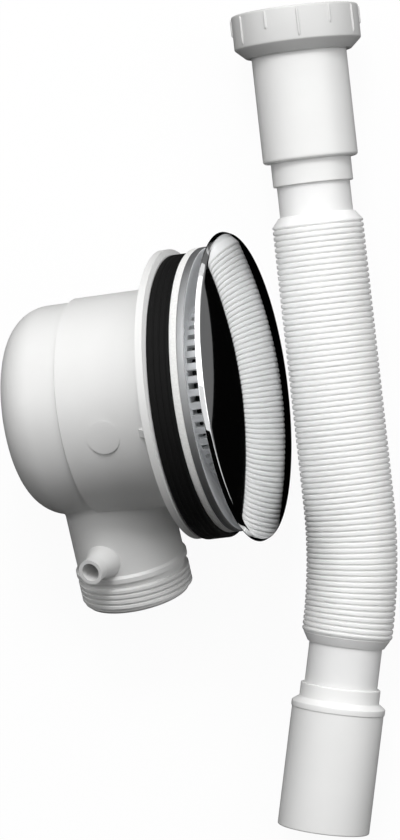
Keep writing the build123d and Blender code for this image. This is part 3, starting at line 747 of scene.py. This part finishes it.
def inlet_sleeve():
    """Smooth sleeve with the flange that the nut pulls on and the collar of the concertina."""
    cuff_start = INLET_COLLAR_END - CUFF_INSERT
    bore = SLEEVE_RADIUS - SLEEVE_WALL
    corners = [
        (SLEEVE_START, bore, FINE_EDGE),
        (SLEEVE_START, SLEEVE_FLANGE_RADIUS, PLAIN_EDGE),
        (SLEEVE_FLANGE_END, SLEEVE_FLANGE_RADIUS, PLAIN_EDGE),
        (SLEEVE_FLANGE_END, SLEEVE_RADIUS, FINE_EDGE),
        (SLEEVE_END, SLEEVE_RADIUS, SLEEVE_SHOULDER_EDGE),
        (SLEEVE_END, COLLAR_RADIUS, PLAIN_EDGE),
        (INLET_COLLAR_END, COLLAR_RADIUS, EASED_EDGE),
        (INLET_COLLAR_END, SOCKET_RADIUS, CRISP_EDGE),
        (cuff_start, SOCKET_RADIUS),
        (cuff_start, CUFF_BORE, CRISP_EDGE),
        (SLEEVE_END - SLEEVE_WALL, CUFF_BORE, ROUND_EDGE),
        (SLEEVE_END - 2 * SLEEVE_WALL, bore, ROUND_EDGE),
    ]
    sleeve = turned("moulded_inlet_sleeve", rounded(corners), PIPE_SEAT)
    finish_piece(sleeve, "white_polypropylene", "trap_and_pipe", "inlet_sleeve")


def outlet_sleeve():
    """Plain spigot with its rim and collar, measured back from its end."""
    cuff_start = OUTLET_COLLAR_END - CUFF_INSERT
    bore = SPIGOT_RADIUS - SPIGOT_WALL
    rim_radius = SPIGOT_RADIUS + RIM_HEIGHT
    corners = [
        (0, bore, PLAIN_EDGE),
        (0, SPIGOT_RADIUS, SPIGOT_END_EDGE),
        (SPIGOT_LENGTH, SPIGOT_RADIUS),
        (SPIGOT_LENGTH, rim_radius, FINE_EDGE),
        (RIM_END, rim_radius, FULL_EDGE),
        (RIM_CONE_END, COLLAR_RADIUS, SOFT_EDGE),
        (OUTLET_COLLAR_END, COLLAR_RADIUS, EASED_EDGE),
        (OUTLET_COLLAR_END, SOCKET_RADIUS, CRISP_EDGE),
        (cuff_start, SOCKET_RADIUS),
        (cuff_start, CUFF_BORE, CRISP_EDGE),
        (RIM_END, CUFF_BORE, FULL_EDGE),
        (SPIGOT_LENGTH, bore, FULL_EDGE),
    ]
    sleeve = turned("moulded_outlet_sleeve", rounded(corners), TAIL_SEAT)
    finish_piece(sleeve, "white_polypropylene", "trap_and_pipe", "outlet_sleeve")


def thread_tree(inputs, finish):
    """Tree that winds a ridge about Z in mm, full in its middle turns and fading out at both ends."""
    tree, given, made = new_tree("thread_ridge", inputs)
    sizes = given.outputs
    rise = add(tree, "ShaderNodeMath", {0: sizes["Turns"], 1: sizes["Pitch"]}, operation="MULTIPLY")
    coil = add(tree, "GeometryNodeCurveSpiral", {
        "Resolution": sizes["Steps a turn"], "Rotations": sizes["Turns"], "Height": rise,
        "Start Radius": sizes["Root radius"], "End Radius": sizes["Root radius"],
    })
    level = add(tree, "GeometryNodeSetCurveNormal", {"Curve": coil}, mode="Z_UP")
    wide = add(tree, "ShaderNodeMath", {0: sizes["Pitch"], 1: THREAD_FOOT_SHARE}, operation="MULTIPLY")
    narrow = add(tree, "ShaderNodeMath", {0: sizes["Pitch"], 1: THREAD_CREST_SHARE}, operation="MULTIPLY")
    section = add(tree, "GeometryNodeCurvePrimitiveQuadrilateral", {
        "Height": sizes["Depth"], "Bottom Width": wide, "Top Width": narrow, "Offset": 0.0,
    }, mode="TRAPEZOID")
    # The ridge's foot sinks a little into its root, so that the two join with no gap
    lift = add(tree, "ShaderNodeMath", {0: sizes["Depth"], 1: -0.5, 2: THREAD_SINK}, operation="MULTIPLY_ADD")
    lifted = add(tree, "GeometryNodeTransform", {
        "Geometry": section, "Rotation": (0.0, 0.0, math.pi / 2),
        "Translation": add(tree, "ShaderNodeCombineXYZ", {"X": lift}),
    })
    outward = add(tree, "ShaderNodeCombineXYZ", {"X": sizes["Outward"], "Y": 1.0, "Z": 1.0})
    faced = add(tree, "GeometryNodeTransform", {"Geometry": lifted, "Scale": outward})
    factor = add(tree, "GeometryNodeSplineParameter").outputs["Factor"]
    left = add(tree, "ShaderNodeMath", {0: 1.0, 1: factor}, operation="SUBTRACT")
    near_end = add(tree, "ShaderNodeMath", {0: factor, 1: left}, operation="MINIMUM")
    turns_in = add(tree, "ShaderNodeMath", {0: near_end, 1: sizes["Turns"]}, operation="MULTIPLY")
    fade = add(tree, "ShaderNodeMapRange", {
        "Value": turns_in, "From Max": THREAD_FADE_TURNS, "To Min": THREAD_END_SHARE, "To Max": 1.0,
    })
    ridge = add(tree, "GeometryNodeCurveToMesh", {
        "Curve": level, "Profile Curve": faced, "Scale": fade, "Fill Caps": True,
    })
    end_tree(tree, made, ridge, finish)
    return tree


def thread_ridge(name, start, place, body, finish, sizes):
    """Moulded thread from a start along an axis, wound on the root that carries it."""
    inputs = {"Pitch": THREAD_PITCH, "Steps a turn": THREAD_STEPS, **sizes}
    host = bpy.data.meshes.new(name)
    ridge = grown(name, thread_tree(inputs, finish), host, inputs, place @ Matrix.Translation((0, 0, start)))
    finish_piece(ridge, "white_polypropylene", body, finish=finish)


def cad_normals(shape, source_face, source):
    """Normals of a CAD mesh at each corner of a mesh that was cut from it."""
    normals = []
    for face in shape.faces:
        polygon = source.polygons[face[source_face]]
        corners = [source.vertices[index].co for index in polygon.vertices]
        shading = [source.corner_normals[index].vector for index in polygon.loop_indices]
        for loop in face.loops:
            shares = poly_3d_calc(corners, loop.vert.co)
            normal = sum((part * share for part, share in zip(shading, shares)), Vector())
            normals.append(normal.normalized() if normal.length > SHORTEST_NORMAL else face.normal.copy())
    return normals


def lower_outlet_land(shape):
    """Takes the outlet's land down to the root of its thread, with its chamfer at the mouth."""
    from_outlet = OUTLET_SEAT.inverted()
    land_end = OUTLET_REACH - OUTLET_LAND_CHAMFER
    for vert in shape.verts:
        point = from_outlet @ vert.co
        radius = math.hypot(point.x, point.y)
        if point.z > OUTLET_LAND_START - MARGIN and radius > THREAD_ROOT:
            root = THREAD_ROOT - max(0.0, point.z - land_end) * OUTLET_CHAMFER_GRADE
            vert.co = OUTLET_SEAT @ Vector((point.x * root / radius, point.y * root / radius, point.z))


def draw_in_seam(shape):
    """Draws in the foot of the seam's step, except by the outlet, and returns the points that it moves."""
    from_trap = TRAP_SEAT.inverted()
    bowl_radius = BODY_RADIUS - SEAM_STEP
    moved = set()
    for vert in shape.verts:
        point = from_trap @ vert.co
        radius = math.hypot(point.x, point.y)
        at_foot = abs(point.z + SEAM_DEPTH) < ON_SEAM_PLANE and abs(radius - bowl_radius) < ON_WALL
        by_outlet = point.x > 0 and abs(point.y) < SEAM_CLEAR_OF_OUTLET
        if at_foot and not by_outlet:
            inner = (radius - SEAM_GROOVE_DEPTH) / radius
            vert.co = TRAP_SEAT @ Vector((point.x * inner, point.y * inner, point.z))
            moved.add(vert)
    return moved


def on_pad(point):
    """Whether a point of the body, in mm from its flange, lies on the round pad on its side."""
    over_pad = point.y < 0 and math.hypot(point.x, point.z + PAD_DEPTH) < PAD_RADIUS + MARGIN
    return over_pad and math.hypot(point.x, point.y) > BODY_RADIUS - MARGIN


def trap_body():
    """Moulded body: its CAD form and shading, a fine groove under its seam, and its outlet's thread."""
    source = frame["nodes"]["trap_body"].data
    shape = bmesh.new()
    shape.from_mesh(source)
    source_face = shape.faces.layers.int.new("source_face")
    for face in shape.faces:
        face[source_face] = face.index
    bmesh.ops.remove_doubles(shape, verts=shape.verts, dist=MERGE_WITHIN * MM)
    groove_edge = TRAP_SEAT @ Vector((0, 0, -SEAM_DEPTH - SEAM_GROOVE_WIDTH))
    everything = shape.verts[:] + shape.edges[:] + shape.faces[:]
    bmesh.ops.bisect_plane(shape, geom=everything, plane_co=groove_edge, plane_no=trap_axis)
    normals = cad_normals(shape, source_face, source)
    lower_outlet_land(shape)
    seam_foot = draw_in_seam(shape)
    shape.normal_update()
    from_trap = TRAP_SEAT.inverted()
    corners = [(face, loop) for face in shape.faces for loop in face.loops]
    for place, (face, loop) in enumerate(corners):
        point = from_trap @ loop.vert.co
        if not seam_foot.isdisjoint(face.verts):
            normals[place] = face.normal.copy()
        elif on_pad(point):
            # The round pad takes the shading of the wall round it
            normals[place] = (TRAP_SEAT.to_3x3() @ Vector((point.x, point.y, 0))).normalized()
    shape.faces.layers.int.remove(source_face)
    mesh = bpy.data.meshes.new("moulded_trap_body")
    shape.to_mesh(mesh)
    shape.free()
    body = bpy.data.objects.new("moulded_trap_body", mesh)
    finish_piece(body, "white_polypropylene", "trap_and_pipe", "trap_body", finish=BODY_SHADED_PLASTIC)
    mesh.normals_split_custom_set(normals)
    thread_ridge("outlet_thread", THREAD_START, OUTLET_SEAT, "trap_and_pipe", BODY_SHADED_PLASTIC, {
        "Turns": THREAD_TURNS, "Root radius": THREAD_ROOT,
        "Depth": THREAD_RADIUS - THREAD_ROOT + THREAD_SINK, "Outward": 1.0,
    })


def grip_tree(inputs):
    """Tree that sets long and short grip ribs by turns round a nut about Z, in mm."""
    tree, given, made = new_tree("grip_ribs", inputs)
    sizes = given.outputs
    joined = add(tree, "GeometryNodeJoinGeometry", {"Geometry": sizes["Geometry"]})
    factor = add(tree, "GeometryNodeSplineParameter").outputs["Factor"]
    off_middle = add(tree, "ShaderNodeMath", {0: factor, 1: 2.0, 2: -1.0}, operation="MULTIPLY_ADD")
    far_off = add(tree, "ShaderNodeMath", {0: off_middle}, operation="ABSOLUTE")
    end_curve = add(tree, "ShaderNodeMath", {0: far_off, 1: NUT_RIB_END_SHARPNESS}, operation="POWER")
    full = add(tree, "ShaderNodeMath", {0: 1.0, 1: end_curve}, operation="SUBTRACT")
    thick = add(tree, "ShaderNodeMath", {0: full, 1: 0.5}, operation="POWER")
    thickness = add(tree, "ShaderNodeMath", {0: thick, 1: NUT_RIB_END_SHARE}, operation="MAXIMUM")
    half_width = add(tree, "ShaderNodeMath", {0: sizes["Rib width"], 1: 0.5}, operation="MULTIPLY")
    section = add(tree, "GeometryNodeCurvePrimitiveCircle", {
        "Resolution": sizes["Rib sides"], "Radius": half_width,
    })
    ring = add(tree, "GeometryNodeMeshCircle", {
        "Vertices": sizes["Ribs"], "Radius": sizes["Rib axis radius"],
    })
    step = add(tree, "ShaderNodeMath", {0: math.tau, 1: sizes["Ribs"]}, operation="DIVIDE")
    for kind, share in (("Long rib", 0.0), ("Short rib", 0.5)):
        far_end = add(tree, "ShaderNodeMath", {0: sizes["Rib start"], 1: sizes[kind]}, operation="ADD")
        line = add(tree, "GeometryNodeCurvePrimitiveLine", {
            "Start": add(tree, "ShaderNodeCombineXYZ", {"Z": sizes["Rib start"]}),
            "End": add(tree, "ShaderNodeCombineXYZ", {"Z": far_end}),
        })
        stations = add(tree, "GeometryNodeResampleCurve", {"Curve": line, "Count": RIB_STEPS})
        rib = add(tree, "GeometryNodeCurveToMesh", {
            "Curve": stations, "Profile Curve": section.outputs["Curve"], "Scale": thickness,
            "Fill Caps": True,
        })
        turn = add(tree, "ShaderNodeMath", {0: step, 1: share}, operation="MULTIPLY")
        turned_ring = add(tree, "GeometryNodeTransform", {
            "Geometry": ring, "Rotation": add(tree, "ShaderNodeCombineXYZ", {"Z": turn}),
        })
        ribs = add(tree, "GeometryNodeInstanceOnPoints", {"Points": turned_ring, "Instance": rib})
        tree.links.new(ribs.outputs["Instances"], joined.inputs["Geometry"])
    end_tree(tree, made, joined, NUT_SHADED_PLASTIC)
    return tree


def coupling_nut():
    """Union nut with rounded edges, long and short grip ribs, and its thread."""
    cone_start = NUT_LENGTH - NUT_CONE_LENGTH
    corners = [
        (0, NUT_BORE, PLAIN_EDGE),
        (0, NUT_RADIUS, ROUND_EDGE),
        (cone_start, NUT_RADIUS, NUT_CONE_EDGE),
        (NUT_LENGTH, NUT_RADIUS - NUT_CONE_WIDTH, NUT_FOOT_EDGE),
        (NUT_LENGTH, NUT_HOLE, PLAIN_EDGE),
        (NUT_SHOULDER, NUT_HOLE, CRISP_EDGE),
        (NUT_SHOULDER, NUT_SEAT, FINE_EDGE),
        (NUT_THREAD_END, NUT_SEAT, CRISP_EDGE),
        (NUT_THREAD_END, NUT_BORE, CRISP_EDGE),
    ]
    plain = turned("plain_nut", rounded(corners), Matrix())
    inputs = {
        "Ribs": NUT_RIBS,
        "Rib sides": RIB_SIDES,
        "Rib axis radius": NUT_RADIUS + NUT_RIB_HEIGHT - NUT_RIB_WIDTH / 2,
        "Rib start": NUT_RIB_START,
        "Rib width": NUT_RIB_WIDTH,
        "Long rib": NUT_RIB_LENGTH,
        "Short rib": NUT_SHORT_RIB_LENGTH,
    }
    nut = grown("moulded_coupling_nut", grip_tree(inputs), plain.data, inputs, PIPE_SEAT)
    finish_piece(nut, "white_polypropylene", "nut", "coupling_nut", finish=NUT_SHADED_PLASTIC)
    thread_ridge("nut_thread", NUT_THREAD_START, PIPE_SEAT, "nut", NUT_SHADED_PLASTIC, {
        "Turns": NUT_THREAD_TURNS, "Root radius": NUT_BORE,
        "Depth": NUT_BORE - NUT_THREAD_CREST + THREAD_SINK, "Outward": -1.0,
    })


def plain_nodes():
    """Gives each CAD node the finish of its slot, for those that keep their CAD form; the strainer takes the paler
    plating, painted light.
    """
    for subpart in record["subparts"]:
        name = subpart["node"]
        mesh = frame["nodes"][name].data
        mesh.materials.clear()
        # The strainer takes the paler plating: painted light in the dome's shade
        mesh.materials.append(PAINTED_LIGHT_PLATING if name == "strainer" else MATERIALS[subpart["material_slot"]])


def background_rays(tree):
    """Node that is 1 for the rays that see the white background: camera, glossy and transmission rays."""
    rays = add(tree, "ShaderNodeLightPath").outputs
    seen = add(tree, "ShaderNodeMath", {
        0: rays["Is Camera Ray"], 1: rays["Is Glossy Ray"],
    }, operation="MAXIMUM")
    return add(tree, "ShaderNodeMath", {0: seen, 1: rays["Is Transmission Ray"]}, operation="MAXIMUM")


def studio_floor():
    """Plain floor: white where it is seen, with the object's shadow, and grey in the light it throws."""
    bpy.ops.mesh.primitive_plane_add(size=FLOOR_SIZE, location=(0, 0, 0))
    floor = bpy.context.object
    floor.name = "studio_floor"
    material = bpy.data.materials.new("floor_paper")
    material.use_nodes = True
    tree = material.node_tree
    tree.nodes.remove(tree.nodes["Principled BSDF"])
    glow = add(tree, "ShaderNodeEmission", {"Strength": 1.0})
    white = add(tree, "ShaderNodeBsdfDiffuse", {"Color": linear("#F5F5F5")})
    paper = add(tree, "ShaderNodeMixShader", {0: WHITE_SHARE, 1: white, 2: glow})
    grey = add(tree, "ShaderNodeBsdfDiffuse", {"Color": linear("#383838")})
    mixed = add(tree, "ShaderNodeMixShader", {0: background_rays(tree), 1: grey, 2: paper})
    tree.links.new(mixed.outputs[0], tree.nodes["Material Output"].inputs["Surface"])
    floor.data.materials.append(material)


def reflection_card(name, colour, middle, width, length, turn=0, tilt=0):
    """Matt card that lies or stands on the floor, seen in reflections alone, for the chrome's dark parts."""
    bpy.ops.mesh.primitive_plane_add(size=1, location=middle, rotation=(tilt, 0, turn))
    card = bpy.context.object
    card.name = name
    card.data.transform(Matrix.Diagonal((width, length, 1, 1)))
    material = bpy.data.materials.new(name)
    material.use_nodes = True
    shader = material.node_tree.nodes["Principled BSDF"]
    shader.inputs["Base Color"].default_value = linear(colour)
    shader.inputs["Roughness"].default_value = 1.0
    shader.inputs["Specular IOR Level"].default_value = 0.0
    card.data.materials.append(material)
    card.visible_camera = False
    card.visible_diffuse = False
    card.visible_shadow = False
    card.visible_transmission = False


def soft_box(name, place, width, height, power):
    """Rectangular lamp at a place, turned to face the object."""
    lamp = bpy.data.lights.new(name, "AREA")
    lamp.shape = "RECTANGLE"
    lamp.size = width
    lamp.size_y = height
    lamp.energy = power
    holder = bpy.data.objects.new(name, lamp)
    holder.location = place
    holder.rotation_euler = (LAMP_AIM - Vector(place)).to_track_quat("-Z", "Y").to_euler()
    bpy.context.scene.collection.objects.link(holder)


def studio_room():
    """World that is white where it is seen and throws a dim light."""
    world = bpy.data.worlds.new("studio_room")
    world.use_nodes = True
    tree = world.node_tree
    white = add(tree, "ShaderNodeBackground", {"Color": linear("#FFFFFF"), "Strength": 1.0})
    dim = add(tree, "ShaderNodeBackground", {"Color": linear("#8C8C8C"), "Strength": 0.2})
    room = add(tree, "ShaderNodeMixShader", {0: background_rays(tree), 1: dim, 2: white})
    tree.links.new(room.outputs[0], tree.nodes["World Output"].inputs["Surface"])
    tree.nodes.remove(tree.nodes["Background"])
    bpy.context.scene.world = world


def photograph_camera():
    """Camera that looks straight down as the photograph's does."""
    camera = bpy.data.cameras.new("camera")
    camera.sensor_fit = "VERTICAL"
    camera.sensor_height = SENSOR_HEIGHT_MM
    camera.lens = FOCAL_LENGTH_PX / IMAGE_HEIGHT * SENSOR_HEIGHT_MM
    holder = bpy.data.objects.new("camera", camera)
    holder.location = (CAMERA_ASIDE, 0, CAMERA_HEIGHT)
    bpy.context.scene.collection.objects.link(holder)
    bpy.context.scene.camera = holder


def studio():
    """Floor, cards for reflections, lamps, world and camera, with places and sizes in metres."""
    upright = math.radians(90)
    studio_floor()
    reflection_card("black_card", "#050505", (0.1, -1.2, 0.0004), 1.6, 3.4)
    reflection_card("grey_card", "#707070", (0.355, 0.206, 0.0006), 0.5, 0.9, turn=math.radians(37.9))
    reflection_card("black_screen", "#050505", (-1.0, -1.0, 1.1), 4.0, 2.2, tilt=upright)
    reflection_card("grey_screen", "#6A6A6A", (1.9, 1.1, 0.7), 4.5, 1.4, turn=math.radians(-60), tilt=upright)
    soft_box("key_softbox", (-0.05, 1.4, 1.4), width=3.2, height=3.4, power=41.0)
    soft_box("key_lamp", (-0.2, 1.25, 1.5), width=0.5, height=0.5, power=15.0)
    soft_box("left_fill", (-1.6, 0.3, 1.4), width=1.4, height=1.4, power=8.0)
    soft_box("right_fill", (1.6, 0.3, 1.4), width=1.4, height=1.4, power=12.0)
    studio_room()
    photograph_camera()
    bpy.context.scene.view_settings.view_transform = "Standard"


plain_nodes()
flexible_pipe()
tray_seal()
top_gasket()
waste_flange()
dome_cover()
inlet_sleeve()
outlet_sleeve()
trap_body()
coupling_nut()
studio()
